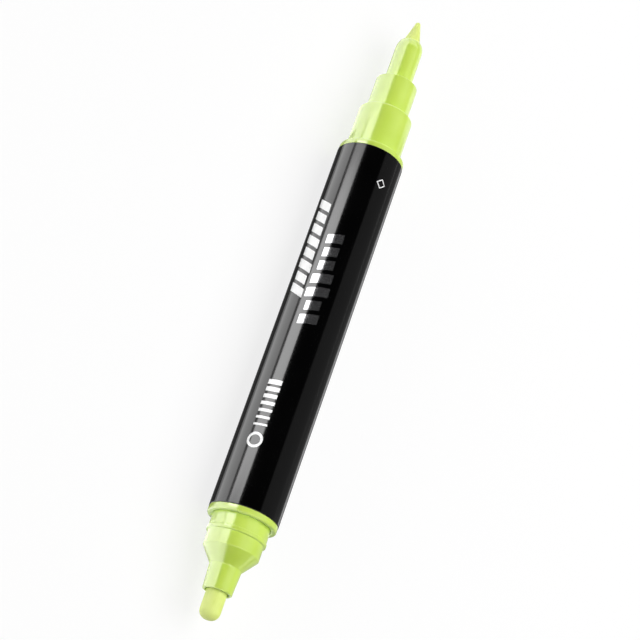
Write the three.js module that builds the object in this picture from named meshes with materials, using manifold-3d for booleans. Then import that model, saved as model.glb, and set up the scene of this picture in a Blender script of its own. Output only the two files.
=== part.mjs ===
// An acrylic paint marker with a bullet tip and a fine tip on one paint tank, shown without its caps.
// Millimetres, +Z up. The marker lies on its side along X: fine tip at +X, bullet tip at -X.
// Each end is drawn in a frame of its own: +Y points out of the barrel, and y = 0 is the barrel's end face.
import * as THREE from "three";
import { mergeVertices } from "three/addons/utils/BufferGeometryUtils.js";
import Module from "manifold-3d";

// Flats round every revolved piece: all share them, so nested pieces keep an even clearance
const flats = 32;
const ballFlats = 20;
const edgeSteps = 3;
const shoulderSteps = 5;

// Clearances
const pressGap = 0.03; // parts pushed together for good
const seatGap = 0.05; // faces that rest on each other
const slideGap = 0.1; // parts that slide in each other
const overrun = 1; // how far a cutter runs past what it cuts

// Barrel, the black tube that is the paint tank
const barrelRadius = 7.5;
const barrelWall = 1.0;
const barrelLength = 86.5;
const barrelMouthChamfer = 0.3;

// Collar, the plug that closes a barrel end and carries the flange that a cap stops against
const flangeInset = 0.1;
const flangeThickness = 1.35;
const flangeEdgeRound = 0.3;
const plugLength = 9.6;
const plugLeadIn = 0.5;
const socketWall = 1.22; // around the socket that takes the valve and the nose
const socketDepth = 5.4;
const snapBeadHeight = 0.25;
const snapBeadWidth = 0.8;
const snapBeadDepth = 2.2;

// O-ring between the collar and the barrel bore
const oRingCord = 0.85;
const oRingGrooveWidth = 1.1;
const oRingGrooveDepthFromFace = 7.2;
const oRingSides = 8;

// Valve cartridge, the same at both ends
const valvePlateThickness = 1.15;
const valveHoleRadius = 1.5;
const valveTubeRadius = 3.8;
const valveTubeWall = 0.9;
const valveTubeLength = 12.6;
const windowWidth = 1.6;
const windowLength = 5.0;
const windowInset = 2.6;
const sealThickness = 0.75;

// Plunger, the valve stem that the nib presses
const stemRadius = 1.1;
const padRadius = 1.35;
const padThickness = 0.8;
const poppetRadius = 2.3;
const poppetThickness = 1.0;
const guidePinRadius = 1.2;
const stroke = 2.5;

// Spring retainer, the snapped-in cap of the valve tube
const retainerPlug = 1.0;
const retainerFlange = 0.6;
const retainerHoleRadius = 1.0;

// Valve spring
const springRadius = 1.9;
const springWire = 0.4;
const springTurns = 8;
const springStepsPerTurn = 8;
const springSides = 5;

// Noses, the tapered mouldings that hold the nibs
const noseRecessDepth = 0.2;
const noseRecessRoom = 0.2;
const chamberRadius = 4.0;
const ribWidth = 0.9;
const ribStart = 3.0;
const ribMouthInset = 0.8;
const nibRear = 0.5;
const nibRearChamfer = 0.25;

// Bullet nose and nib, as distances out from the barrel's end face
const bulletBodyRadius = 6.2;
const bulletBeadStart = 4.0;
const bulletBeadEnd = 5.0;
const bulletBeadHeight = 0.15;
const bulletStepRadius = 5.95;
const bulletConeStart = 8.0;
const bulletConeEnd = 11.3;
const bulletTubeRearRadius = 3.42;
const bulletTubeRadius = 3.12;
const bulletNoseEnd = 16.6;
const bulletMouthRound = 0.25;
const bulletMouthWall = 0.55;
const bulletNibRadius = 2.2;
const bulletNibEnd = 22.47;
const bulletDomeLength = 2.1;

// Fine nose and nib
const fineBodyRadius = 6.15;
const fineBodyEnd = 12.4;
const fineMiddleStart = 14.3;
const fineMiddleRadius = 4.78;
const fineMiddleEnd = 20.5;
const fineTubeStart = 22.6;
const fineTubeRadius = 3.1;
const fineTubeEnd = 29.8;
const fineNoseEnd = 32.2;
const fineMouthWall = 0.2;
const fineNoseWall = 1.2;
const fineTubeWall = 0.8;
const fineNibRadius = 1.8;
const fineConeStart = 32.6;
const finePointRadius = 0.65;
const finePointStart = 36.95;
const fineNibEnd = 37.73;

// Mixing ball, loose in the paint
const ballRadius = 3.0;

// Sizes that follow from those above
const boreRadius = barrelRadius - barrelWall;
const flangeRadius = barrelRadius - flangeInset;
const plugRadius = boreRadius - pressGap;
const socketRadius = plugRadius - socketWall;
const ledge = -socketDepth;
const plateRear = ledge + seatGap;
const plateFront = plateRear + valvePlateThickness;
const valveTubeBore = valveTubeRadius - valveTubeWall;
const valveTubeEnd = plateRear - valveTubeLength;
const sealRear = plateRear - seatGap - sealThickness;
const poppetFront = sealRear - seatGap;
const poppetRear = poppetFront - poppetThickness;
const retainerFront = valveTubeEnd + retainerPlug;
const guidePinEnd = retainerFront + seatGap + stroke;
const spigotRadius = socketRadius - pressGap;
const noseRear = plateFront + seatGap;
const recessFloor = flangeThickness - noseRecessDepth;
const noseSeat = recessFloor + seatGap;
const endShift = (fineNibEnd - bulletNibEnd) / 2;

const wasm = await Module();
wasm.setup();

const materials = {
  barrel: { color: 0x0b0b0c, roughness: 0.18, metalness: 0 },
  lime: { color: 0xb4dc48, roughness: 0.38, metalness: 0 },
  nib: { color: 0xd2ee6a, roughness: 0.85, metalness: 0 },
  valve: { color: 0xe9ebe8, roughness: 0.5, metalness: 0 },
  rubber: { color: 0x1c1c1d, roughness: 0.8, metalness: 0 },
  steel: { color: 0xb9bcc0, roughness: 0.25, metalness: 1 },
};

function mesh(name, geometry, material) {
  const piece = new THREE.Mesh(geometry, new THREE.MeshStandardMaterial(materials[material]));
  piece.name = name;
  return piece;
}

// A solid of revolution about Y from [radius, y] points that run up the outside.
// Its flats touch the true circle, and one faces straight down, so that the marker lies still.
function revolve(points) {
  const cornerScale = 1 / Math.cos(Math.PI / flats);
  const outline = points.map(([radius, y]) => new THREE.Vector2(radius * cornerScale, y));
  const onAxis = points[0][0] === 0 && points.at(-1)[0] === 0;
  if (!onAxis) outline.push(outline[0].clone());
  return new THREE.LatheGeometry(outline, flats, Math.PI / flats);
}

// Points of a rounded shoulder that leaves one radius straight up and meets the next one flat
function shoulder([fromRadius, fromY], [toRadius, toY], steps) {
  return Array.from({ length: steps + 1 }, (_, i) => {
    const angle = (i / steps) * (Math.PI / 2);
    const radius = toRadius + (fromRadius - toRadius) * Math.cos(angle);
    return [radius, fromY + (toY - fromY) * Math.sin(angle)];
  });
}

function ringSection(centreRadius, centreY, radius, sides) {
  return Array.from({ length: sides }, (_, i) => {
    const angle = ((i + 0.5) / sides) * 2 * Math.PI;
    return [centreRadius + radius * Math.cos(angle), centreY + radius * Math.sin(angle)];
  });
}

function toSolid(geometry) {
  const bare = geometry.clone();
  bare.deleteAttribute("normal");
  bare.deleteAttribute("uv");
  const merged = mergeVertices(bare, 1e-4);
  const index = merged.index.array;
  const triangles = [];
  for (let i = 0; i < index.length; i += 3) {
    const [a, b, c] = index.slice(i, i + 3);
    if (a !== b && b !== c && c !== a) triangles.push(a, b, c);
  }
  return new wasm.Manifold(new wasm.Mesh({
    numProp: 3,
    vertProperties: new Float32Array(merged.attributes.position.array),
    triVerts: new Uint32Array(triangles),
  }));
}

function toGeometry(solid) {
  const { vertProperties, triVerts } = solid.getMesh();
  const geometry = new THREE.BufferGeometry();
  geometry.setAttribute("position", new THREE.BufferAttribute(vertProperties, 3));
  geometry.setIndex(new THREE.BufferAttribute(triVerts, 1));
  geometry.computeVertexNormals();
  return geometry;
}

// Two crossed slabs along the axis: four ribs, or four windows, at even angles
function crossSlabs(width, reach, fromY, toY) {
  const slabs = [[width, 2 * reach], [2 * reach, width]].map(([x, z]) => {
    const box = new THREE.BoxGeometry(x, toY - fromY, z);
    return toSolid(box.translate(0, (fromY + toY) / 2, 0));
  });
  return slabs[0].add(slabs[1]);
}

function barrelGeometry() {
  const half = barrelLength / 2;
  const chamfer = barrelMouthChamfer;
  return revolve([
    [barrelRadius, -half],
    [barrelRadius, half],
    [boreRadius + chamfer, half],
    [boreRadius, half - chamfer],
    [boreRadius, chamfer - half],
    [boreRadius + chamfer, -half],
  ]);
}

function collarGeometry(noseRadius) {
  const grooveFront = -oRingGrooveDepthFromFace;
  const grooveRear = grooveFront - oRingGrooveWidth;
  const grooveRadius = boreRadius - pressGap - oRingCord;
  const snapRadius = socketRadius + snapBeadHeight;
  const snapRear = -snapBeadDepth - snapBeadWidth;
  const tubeHole = valveTubeRadius + pressGap;
  const edge = [flangeRadius - flangeEdgeRound, flangeThickness];
  const recessRadius = noseRadius + noseRecessRoom;
  return revolve([
    [tubeHole, -plugLength],
    [plugRadius - plugLeadIn, -plugLength],
    [plugRadius, plugLeadIn - plugLength],
    [plugRadius, grooveRear],
    [grooveRadius, grooveRear],
    [grooveRadius, grooveFront],
    [plugRadius, grooveFront],
    [plugRadius, seatGap],
    [flangeRadius, seatGap],
    ...shoulder([flangeRadius, flangeThickness - flangeEdgeRound], edge, edgeSteps),
    [recessRadius, flangeThickness],
    [recessRadius, recessFloor],
    [socketRadius, recessFloor],
    [socketRadius, -snapBeadDepth + snapBeadHeight],
    [snapRadius, -snapBeadDepth],
    [snapRadius, snapRear],
    [socketRadius, snapRear - snapBeadHeight],
    [socketRadius, ledge],
    [tubeHole, ledge],
  ]);
}

function oRingGeometry() {
  const radius = oRingCord / 2;
  const centreY = -oRingGrooveDepthFromFace - oRingGrooveWidth / 2;
  return revolve(ringSection(boreRadius - pressGap / 2 - radius, centreY, radius, oRingSides));
}

function valveBodyGeometry() {
  const body = revolve([
    [valveTubeBore, valveTubeEnd],
    [valveTubeRadius, valveTubeEnd],
    [valveTubeRadius, plateRear],
    [spigotRadius, plateRear],
    [spigotRadius, plateFront],
    [valveHoleRadius, plateFront],
    [valveHoleRadius, plateRear - seatGap],
    [valveTubeBore, plateRear - seatGap],
  ]);
  const windowRear = valveTubeEnd + windowInset;
  const windows = crossSlabs(windowWidth, 2 * valveTubeRadius, windowRear, windowRear + windowLength);
  return toGeometry(toSolid(body).subtract(windows));
}

function sealGeometry() {
  const front = plateRear - seatGap;
  const outside = valveTubeBore - pressGap;
  return revolve([
    [valveHoleRadius, sealRear],
    [outside, sealRear],
    [outside, front - pressGap],
    [valveHoleRadius, front - pressGap],
  ]);
}

function plungerGeometry() {
  const padFront = nibRear - seatGap;
  return revolve([
    [0, guidePinEnd],
    [guidePinRadius, guidePinEnd],
    [guidePinRadius, poppetRear],
    [poppetRadius, poppetRear],
    [poppetRadius, poppetFront],
    [stemRadius, poppetFront],
    [stemRadius, padFront - padThickness],
    [padRadius, padFront - padThickness],
    [padRadius, padFront],
    [0, padFront],
  ]);
}

function retainerGeometry() {
  const flangeFront = valveTubeEnd - seatGap;
  const flangeRear = flangeFront - retainerFlange;
  const plug = valveTubeBore - pressGap;
  return revolve([
    [retainerHoleRadius, flangeRear],
    [valveTubeRadius, flangeRear],
    [valveTubeRadius, flangeFront],
    [plug, flangeFront],
    [plug, retainerFront],
    [retainerHoleRadius, retainerFront],
  ]);
}

// Points along the middle of the spring's wire, which stands between the retainer and the poppet
function springPath() {
  const rear = retainerFront + seatGap + springWire / 2;
  const front = poppetRear - seatGap - springWire / 2;
  const steps = springTurns * springStepsPerTurn;
  return Array.from({ length: steps + 1 }, (_, i) => {
    const angle = (i / springStepsPerTurn) * 2 * Math.PI;
    const y = rear + (front - rear) * (i / steps);
    return new THREE.Vector3(springRadius * Math.cos(angle), y, springRadius * Math.sin(angle));
  });
}

function springGeometry() {
  const path = springPath();
  const up = new THREE.Vector3(0, 1, 0);
  const position = path.flatMap((centre) => {
    const outward = new THREE.Vector3(centre.x, 0, centre.z).normalize();
    return Array.from({ length: springSides }, (_, side) => {
      const angle = (side / springSides) * 2 * Math.PI;
      const offset = outward.clone().multiplyScalar(Math.cos(angle) * springWire / 2);
      offset.addScaledVector(up, Math.sin(angle) * springWire / 2);
      return centre.clone().add(offset).toArray();
    }).flat();
  });
  const index = [];
  const last = (path.length - 1) * springSides;
  for (let ring = 0; ring < path.length - 1; ring += 1) {
    for (let side = 0; side < springSides; side += 1) {
      const here = ring * springSides + side;
      const next = ring * springSides + ((side + 1) % springSides);
      index.push(here, next, here + springSides, next, next + springSides, here + springSides);
    }
  }
  for (let side = 1; side < springSides - 1; side += 1) {
    index.push(0, side + 1, side, last, last + side, last + side + 1);
  }
  const geometry = new THREE.BufferGeometry();
  geometry.setAttribute("position", new THREE.Float32BufferAttribute(position, 3));
  geometry.setIndex(index);
  geometry.computeVertexNormals();
  return geometry;
}

// Least gap of the spring's wire to itself, over points at least half a turn apart
function springSelfGap() {
  const path = springPath();
  const apart = springStepsPerTurn / 2;
  let least = Infinity;
  for (let i = 0; i < path.length; i += 1) {
    for (let j = i + apart; j < path.length; j += 1) {
      least = Math.min(least, path[i].distanceTo(path[j]));
    }
  }
  return least - springWire;
}

// Outside of a nose behind its visible part: the spigot that snaps into the collar
function spigotOutline() {
  const snapRear = -snapBeadDepth - snapBeadWidth + pressGap;
  const snapFront = -snapBeadDepth - pressGap;
  const snapRadius = spigotRadius + snapBeadHeight;
  return [
    [spigotRadius, noseRear],
    [spigotRadius, snapRear - snapBeadHeight],
    [snapRadius, snapRear],
    [snapRadius, snapFront],
    [spigotRadius, snapFront + snapBeadHeight],
    [spigotRadius, noseSeat],
  ];
}

// A nose is a shell round the nib, with four ribs inside that guide it and leave paint room to pass
function noseGeometry(outline, cavity, noseEnd, guideRadius) {
  const body = toSolid(revolve([[0, noseRear], ...spigotOutline(), ...outline, [0, noseEnd]]));
  const room = toSolid(revolve([[0, noseRear - overrun], ...cavity, [0, noseEnd + overrun]]));
  const ribs = crossSlabs(ribWidth, 2 * chamberRadius, ribStart, noseEnd - ribMouthInset);
  const guide = toSolid(revolve([
    [0, noseRear - overrun],
    [guideRadius, noseRear - overrun],
    [guideRadius, noseEnd + overrun],
    [0, noseEnd + overrun],
  ]));
  return toGeometry(body.subtract(room.subtract(ribs).add(guide)));
}

function bulletNoseGeometry() {
  const beadRadius = bulletBodyRadius + bulletBeadHeight;
  const mouthRadius = bulletTubeRadius - bulletMouthWall;
  const roundStart = [bulletTubeRadius, bulletNoseEnd - bulletMouthRound];
  const outline = [
    [bulletBodyRadius, noseSeat],
    [bulletBodyRadius, bulletBeadStart],
    [beadRadius, bulletBeadStart + bulletBeadHeight],
    [beadRadius, bulletBeadEnd - bulletBeadHeight],
    [bulletStepRadius, bulletBeadEnd],
    [bulletStepRadius, bulletConeStart],
    [bulletTubeRearRadius, bulletConeEnd],
    ...shoulder(roundStart, [bulletTubeRadius - bulletMouthRound, bulletNoseEnd], edgeSteps),
  ];
  const cavity = [
    [chamberRadius, noseRear - overrun],
    [chamberRadius, bulletConeStart],
    [mouthRadius, bulletConeEnd],
    [mouthRadius, bulletNoseEnd + overrun],
  ];
  return noseGeometry(outline, cavity, bulletNoseEnd, bulletNibRadius + slideGap);
}

function fineNoseGeometry() {
  const mouthBore = fineNibRadius + slideGap;
  const middleBore = fineMiddleRadius - fineNoseWall;
  const tubeBore = fineTubeRadius - fineTubeWall;
  const outline = [
    [fineBodyRadius, noseSeat],
    ...shoulder([fineBodyRadius, fineBodyEnd], [fineMiddleRadius, fineMiddleStart], shoulderSteps),
    ...shoulder([fineMiddleRadius, fineMiddleEnd], [fineTubeRadius, fineTubeStart], shoulderSteps),
    ...shoulder([fineTubeRadius, fineTubeEnd], [mouthBore + fineMouthWall, fineNoseEnd], shoulderSteps),
  ];
  const cavity = [
    [chamberRadius, noseRear - overrun],
    [chamberRadius, fineBodyEnd - fineNoseWall],
    [middleBore, fineBodyEnd],
    [middleBore, fineMiddleEnd - fineNoseWall],
    [tubeBore, fineMiddleEnd],
    [tubeBore, fineTubeEnd - fineTubeWall],
    [mouthBore, fineTubeEnd],
    [mouthBore, fineNoseEnd + overrun],
  ];
  return noseGeometry(outline, cavity, fineNoseEnd, mouthBore);
}

function bulletNibGeometry() {
  const dome = shoulder([bulletNibRadius, bulletNibEnd - bulletDomeLength], [0, bulletNibEnd], shoulderSteps);
  return revolve([
    [0, nibRear],
    [bulletNibRadius - nibRearChamfer, nibRear],
    [bulletNibRadius, nibRear + nibRearChamfer],
    ...dome.slice(0, -1),
    [0, bulletNibEnd],
  ]);
}

function fineNibGeometry() {
  const point = shoulder([finePointRadius, finePointStart], [0, fineNibEnd], edgeSteps);
  return revolve([
    [0, nibRear],
    [fineNibRadius - nibRearChamfer, nibRear],
    [fineNibRadius, nibRear + nibRearChamfer],
    [fineNibRadius, fineConeStart],
    ...point.slice(0, -1),
    [0, fineNibEnd],
  ]);
}

// One end of the marker: the collar, the valve cartridge behind it, and the nose and nib in front
function markerEnd(end, noseRadius, noseShape, nibShape) {
  const group = new THREE.Group();
  group.add(
    mesh(`${end}_collar`, collarGeometry(noseRadius), "lime"),
    mesh(`${end}_o_ring`, oRingGeometry(), "rubber"),
    mesh(`${end}_valve_body`, valveBodyGeometry(), "valve"),
    mesh(`${end}_valve_seal`, sealGeometry(), "rubber"),
    mesh(`${end}_plunger`, plungerGeometry(), "valve"),
    mesh(`${end}_spring`, springGeometry(), "steel"),
    mesh(`${end}_spring_retainer`, retainerGeometry(), "valve"),
    mesh(`${end}_nose`, noseShape, "lime"),
    mesh(`${end}_nib`, nibShape, "nib"),
  );
  return group;
}

const marker = new THREE.Group();
marker.position.set(-endShift, 0, barrelRadius);

const barrel = mesh("barrel", barrelGeometry(), "barrel");
barrel.rotation.z = -Math.PI / 2;

const bulletEnd = markerEnd("bullet", bulletBodyRadius, bulletNoseGeometry(), bulletNibGeometry());
bulletEnd.rotation.z = Math.PI / 2;
bulletEnd.position.x = -barrelLength / 2;

const fineEnd = markerEnd("fine", fineBodyRadius, fineNoseGeometry(), fineNibGeometry());
fineEnd.rotation.z = -Math.PI / 2;
fineEnd.position.x = barrelLength / 2;

const ball = mesh("mixing_ball", new THREE.SphereGeometry(ballRadius, ballFlats, ballFlats / 2), "steel");
ball.position.z = ballRadius + seatGap - boreRadius;

marker.add(barrel, bulletEnd, fineEnd, ball);
console.log(`valve spring: least gap of the wire to itself ${springSelfGap().toFixed(2)} mm`);

export default marker;
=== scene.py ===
# An uncapped acrylic paint marker: its looks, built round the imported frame. It lies along X.
# Sizes are in millimetres. "out" is a distance out of the barrel from its end face, at either end.
import math
import bpy
import bmesh
from mathutils import Matrix, Vector


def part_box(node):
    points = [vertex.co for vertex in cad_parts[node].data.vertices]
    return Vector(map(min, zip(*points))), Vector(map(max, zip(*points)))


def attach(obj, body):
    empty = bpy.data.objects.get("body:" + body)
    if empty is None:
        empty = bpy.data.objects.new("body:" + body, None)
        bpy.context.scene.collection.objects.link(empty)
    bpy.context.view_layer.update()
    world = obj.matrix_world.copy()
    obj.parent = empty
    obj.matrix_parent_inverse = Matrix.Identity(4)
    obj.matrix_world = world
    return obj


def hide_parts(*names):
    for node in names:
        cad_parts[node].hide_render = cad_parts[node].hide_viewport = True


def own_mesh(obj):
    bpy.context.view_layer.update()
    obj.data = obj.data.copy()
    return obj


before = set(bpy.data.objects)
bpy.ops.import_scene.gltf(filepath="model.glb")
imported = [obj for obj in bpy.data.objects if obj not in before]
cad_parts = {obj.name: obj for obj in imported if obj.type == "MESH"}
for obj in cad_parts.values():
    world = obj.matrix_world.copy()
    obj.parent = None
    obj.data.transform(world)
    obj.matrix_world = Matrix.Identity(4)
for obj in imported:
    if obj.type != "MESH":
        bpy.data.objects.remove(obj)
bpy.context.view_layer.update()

mm = 0.001
barrelLow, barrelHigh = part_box("barrel")
axisHeight = (barrelLow.z + barrelHigh.z) / 2
axisPoint = Vector(((barrelLow.x + barrelHigh.x) / 2, 0, axisHeight))
ends = {"bullet": (barrelLow.x, -1), "fine": (barrelHigh.x, 1)}  # end face, way out

# The picture's camera. An angle round the marker's axis is measured from the camera's side of it,
# to the right in the picture; facing() turns it into one measured from straight up towards +Y.
view = {
    "lens": 108.69, "sensor": 36.0, "tilt": 22.986, "roll": 19.446, "distance": 409.54,
    "rightOfCentre": -2.30, "belowCentre": 2.51, "sideLean": 28.0}
lean = math.radians(view["sideLean"])
near = Vector((0, math.sin(lean), math.cos(lean)))  # from the marker's axis towards the camera
side = Vector((0, -math.cos(lean), math.sin(lean)))  # to the right in the picture


def facing(angle):
    return lean - math.radians(angle)


# Nodes

def addNode(tree, kind, inputs=None, **settings):
    node = tree.nodes.new(kind)
    for name, value in settings.items():
        setattr(node, name, value)
    for name, value in (inputs or {}).items():
        socket = node.inputs[name]
        if isinstance(value, bpy.types.NodeSocket):
            tree.links.new(value, socket)
        else:
            socket.default_value = value
    return node


def addStep(tree, kind, inputs=None, **settings):
    return addNode(tree, kind, inputs, **settings).outputs[0]


def addMath(tree, operation, *values):
    return addStep(tree, "ShaderNodeMath", dict(enumerate(values)), operation=operation)


def addVector(tree, x=0.0, y=0.0, z=0.0):
    return addStep(tree, "ShaderNodeCombineXYZ", {"X": x, "Y": y, "Z": z})


def addNoise(tree, place, scale, detail):
    return addStep(tree, "ShaderNodeTexNoise", {
        "Vector": place, "Scale": scale, "Detail": detail})


def addRamp(tree, factor, *stops):
    # Each stop is a position and a colour
    ramp = addNode(tree, "ShaderNodeValToRGB", {"Fac": factor})
    for element, (position, colour) in zip(ramp.color_ramp.elements, stops):
        element.position = position
        element.color = (*colour, 1)
    return ramp.outputs["Color"]


def makeGroup(name, inputs, outputs=("Geometry",), kind="GeometryNodeTree"):
    # The type of a socket follows from its label, or else from its default value
    labelled = {"Geometry": "NodeSocketGeometry", "Finish": "NodeSocketMaterial"}
    tree = bpy.data.node_groups.new(name, kind)
    for label, value in inputs.items():
        number = "NodeSocketInt" if isinstance(value, int) else "NodeSocketFloat"
        socket = tree.interface.new_socket(
            label, in_out="INPUT", socket_type=labelled.get(label, number))
        if value is not None:
            socket.default_value = value
    for label in outputs:
        tree.interface.new_socket(
            label, in_out="OUTPUT", socket_type=labelled.get(label, "NodeSocketFloat"))
    return tree, addNode(tree, "NodeGroupInput").outputs, addNode(tree, "NodeGroupOutput").inputs


# Materials

skinNoise = {"grainDetail": 3.0, "waveDetail": 2.0, "grainShare": 0.35}
tonePlaces = (0.3, 0.7)


def makeSkinGroup():
    # Moulded or printed skin: fine grain, slow unevenness and faint handling marks
    tree, source, result = makeGroup(
        "mouldedSkin", {"Grain Scale": 900.0, "Wave Scale": 120.0, "Base Roughness": 0.3,
                        "Roughness Spread": 0.05},
        ("Height", "Roughness", "Tone"), "ShaderNodeTree")
    place = addNode(tree, "ShaderNodeTexCoord").outputs["Object"]
    grain = addNoise(tree, place, source["Grain Scale"], skinNoise["grainDetail"])
    wave = addNoise(tree, place, source["Wave Scale"], skinNoise["waveDetail"])
    height = addMath(tree, "MULTIPLY_ADD", grain, skinNoise["grainShare"], wave)
    spread = addMath(tree, "SUBTRACT", wave, 0.5)
    roughness = addMath(
        tree, "MULTIPLY_ADD", spread, source["Roughness Spread"], source["Base Roughness"])
    for label, socket in (("Height", height), ("Roughness", roughness), ("Tone", wave)):
        tree.links.new(socket, result[label])
    return tree


def emptyMaterial(name):
    material = bpy.data.materials.new(name)
    material.use_nodes = True
    material.node_tree.nodes.clear()
    return material, material.node_tree


def addSurface(tree, look, tone, roughness, height):
    colour = addRamp(tree, tone, *zip(tonePlaces, (look["dark"], look["pale"])))
    bump = addNode(tree, "ShaderNodeBump", {
        "Height": height, "Strength": look["bump"], "Distance": look["depth"] * mm})
    shader = addNode(tree, "ShaderNodeBsdfPrincipled", {
        **look["fixed"], "Base Color": colour, "Roughness": roughness,
        "Normal": bump.outputs["Normal"]})
    addNode(tree, "ShaderNodeOutputMaterial", {"Surface": shader.outputs["BSDF"]})


def skinMaterial(name, look):
    material, tree = emptyMaterial(name)
    skin = addNode(tree, "ShaderNodeGroup", {
        "Grain Scale": look["grain"], "Wave Scale": look["wave"],
        "Base Roughness": look["roughness"], "Roughness Spread": look["spread"]},
        node_tree=skinGroup).outputs
    addSurface(tree, look, skin["Tone"], skin["Roughness"], skin["Height"])
    return material


def fibreMaterial(name, look):
    # Bonded fibres that run along the nib, wet with paint
    material, tree = emptyMaterial(name)
    place = addNode(tree, "ShaderNodeTexCoord").outputs["Object"]
    along = addStep(tree, "ShaderNodeMapping", {
        "Vector": place, "Scale": (look["stretch"], 1.0, 1.0)})
    fibres = addNoise(tree, along, look["fibreScale"], look["fibreDetail"])
    blotches = addNoise(tree, place, look["blotchScale"], look["blotchDetail"])
    tone = addMath(tree, "MULTIPLY", addMath(tree, "ADD", fibres, blotches), 0.5)
    roughness = addStep(tree, "ShaderNodeMapRange", {
        "Value": blotches, "To Min": look["roughLow"], "To Max": look["roughHigh"]})
    addSurface(tree, look, tone, roughness, fibres)
    return material


finishes = {
    "barrelPlastic": {
        "grain": 2600.0, "wave": 90.0, "roughness": 0.13, "spread": 0.04, "bump": 0.25,
        "depth": 0.002, "dark": (0.0004, 0.0004, 0.0005), "pale": (0.001, 0.001, 0.0011),
        "fixed": {"IOR": 1.65}},
    "limePlastic": {
        "grain": 1500.0, "wave": 160.0, "roughness": 0.18, "spread": 0.05, "bump": 0.35,
        "depth": 0.004, "dark": (0.61, 0.83, 0.09), "pale": (0.67, 0.88, 0.12),
        "fixed": {"IOR": 2.15, "Sheen Weight": 0.3, "Sheen Roughness": 0.5,
                  "Sheen Tint": (1, 1, 1, 1)}},
    "whiteInk": {
        "grain": 3500.0, "wave": 500.0, "roughness": 0.3, "spread": 0.1, "bump": 0.3,
        "depth": 0.002, "dark": (0.93, 0.93, 0.93), "pale": (0.96, 0.96, 0.96),
        "fixed": {"IOR": 2.3}},
    "silverFoil": {
        "grain": 3000.0, "wave": 600.0, "roughness": 0.14, "spread": 0.08, "bump": 0.3,
        "depth": 0.002, "dark": (0.38, 0.38, 0.39), "pale": (0.46, 0.46, 0.47),
        "fixed": {"Metallic": 0.92}},
    "valvePlastic": {
        "grain": 1500.0, "wave": 200.0, "roughness": 0.42, "spread": 0.1, "bump": 0.4,
        "depth": 0.005, "dark": (0.72, 0.73, 0.70), "pale": (0.8, 0.8, 0.78), "fixed": {}},
    "sealRubber": {
        "grain": 2500.0, "wave": 300.0, "roughness": 0.7, "spread": 0.15, "bump": 0.6,
        "depth": 0.01, "dark": (0.016, 0.016, 0.017), "pale": (0.026, 0.026, 0.027), "fixed": {}},
    "springSteel": {
        "grain": 2500.0, "wave": 700.0, "roughness": 0.24, "spread": 0.15, "bump": 0.3,
        "depth": 0.003, "dark": (0.52, 0.53, 0.55), "pale": (0.62, 0.63, 0.65),
        "fixed": {"Metallic": 1.0}},
}
nibLook = {
    "stretch": 0.08, "fibreScale": 5200.0, "fibreDetail": 4.0, "blotchScale": 420.0,
    "blotchDetail": 2.0, "roughLow": 0.4, "roughHigh": 0.6, "bump": 0.5, "depth": 0.02,
    "dark": (0.71, 0.84, 0.18), "pale": (0.80, 0.91, 0.25), "fixed": {"IOR": 1.6}}

skinGroup = makeSkinGroup()
materials = {name: skinMaterial(name, look) for name, look in finishes.items()}
materials["nibFibre"] = fibreMaterial("nibFibre", nibLook)
print("finishes made:", ", ".join(materials))


# Meshes and pieces

meshing = {"mergeWithin": 0.0005, "sharpAngle": 40.0}


def addObject(name, data):
    piece = bpy.data.objects.new(name, data)
    bpy.context.scene.collection.objects.link(piece)
    return piece


def toMesh(name, shape):
    mesh = bpy.data.meshes.new(name)
    shape.to_mesh(mesh)
    shape.free()
    return mesh


def tidyNormals(mesh):
    shape = bmesh.new()
    shape.from_mesh(mesh)
    bmesh.ops.remove_doubles(shape, verts=shape.verts, dist=meshing["mergeWithin"] * mm)
    bmesh.ops.recalc_face_normals(shape, faces=shape.faces)
    shape.to_mesh(mesh)
    shape.free()
    mesh.polygons.foreach_set("use_smooth", [True] * len(mesh.polygons))
    mesh.set_sharp_from_angle(angle=math.radians(meshing["sharpAngle"]))


def buildByNodes(name, tree, finish, values, base=None):
    # A plain mesh from a tree and the values of its named inputs, or from a base mesh as well
    piece = addObject(name, base or bpy.data.meshes.new(name + "Start"))
    modifier = piece.modifiers.new("build", "NODES")
    modifier.node_group = tree
    identifiers = {item.name: item.identifier for item in tree.interface.items_tree
                   if item.item_type == "SOCKET" and item.in_out == "INPUT"}
    values = {**values, "Axis Height": axisHeight, "Finish": materials[finish]}
    for label, value in values.items():
        modifier[identifiers[label]] = value
    evaluated = piece.evaluated_get(bpy.context.evaluated_depsgraph_get())
    mesh = bpy.data.meshes.new_from_object(evaluated)
    bpy.data.objects.remove(piece)
    mesh.name = name
    mesh.materials.clear()
    mesh.materials.append(materials[finish])
    mesh.polygons.foreach_set("material_index", [0] * len(mesh.polygons))
    tidyNormals(mesh)
    return mesh


def weighNormals(mesh):
    # Large faces lead, so that a long side mirrors straight right up to its rounded edge
    holder = addObject("holder", mesh)
    holder.modifiers.new("weigh", "WEIGHTED_NORMAL").keep_sharp = True
    graph = bpy.context.evaluated_depsgraph_get()
    weighed = bpy.data.meshes.new_from_object(
        holder.evaluated_get(graph), preserve_all_data_layers=True, depsgraph=graph)
    bpy.data.objects.remove(holder)
    return weighed


def addPiece(name, mesh, body, nodes=()):
    piece = addObject(name, weighNormals(mesh))
    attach(piece, body)
    if nodes:
        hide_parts(*nodes)
    return piece


# Geometry Nodes

def startTree(name, inputs):
    return makeGroup(name, {**inputs, "Axis Height": 0.0075, "Finish": None})


def endTree(tree, geometry, source, result):
    # Every tree ends like this, so that it gives real faces with their finish
    real = addStep(tree, "GeometryNodeRealizeInstances", {"Geometry": geometry})
    smooth = addStep(tree, "GeometryNodeSetShadeSmooth", {"Geometry": real})
    finished = addStep(tree, "GeometryNodeSetMaterial", {
        "Geometry": smooth, "Material": source["Finish"]})
    tree.links.new(finished, result["Geometry"])
    return tree


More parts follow.
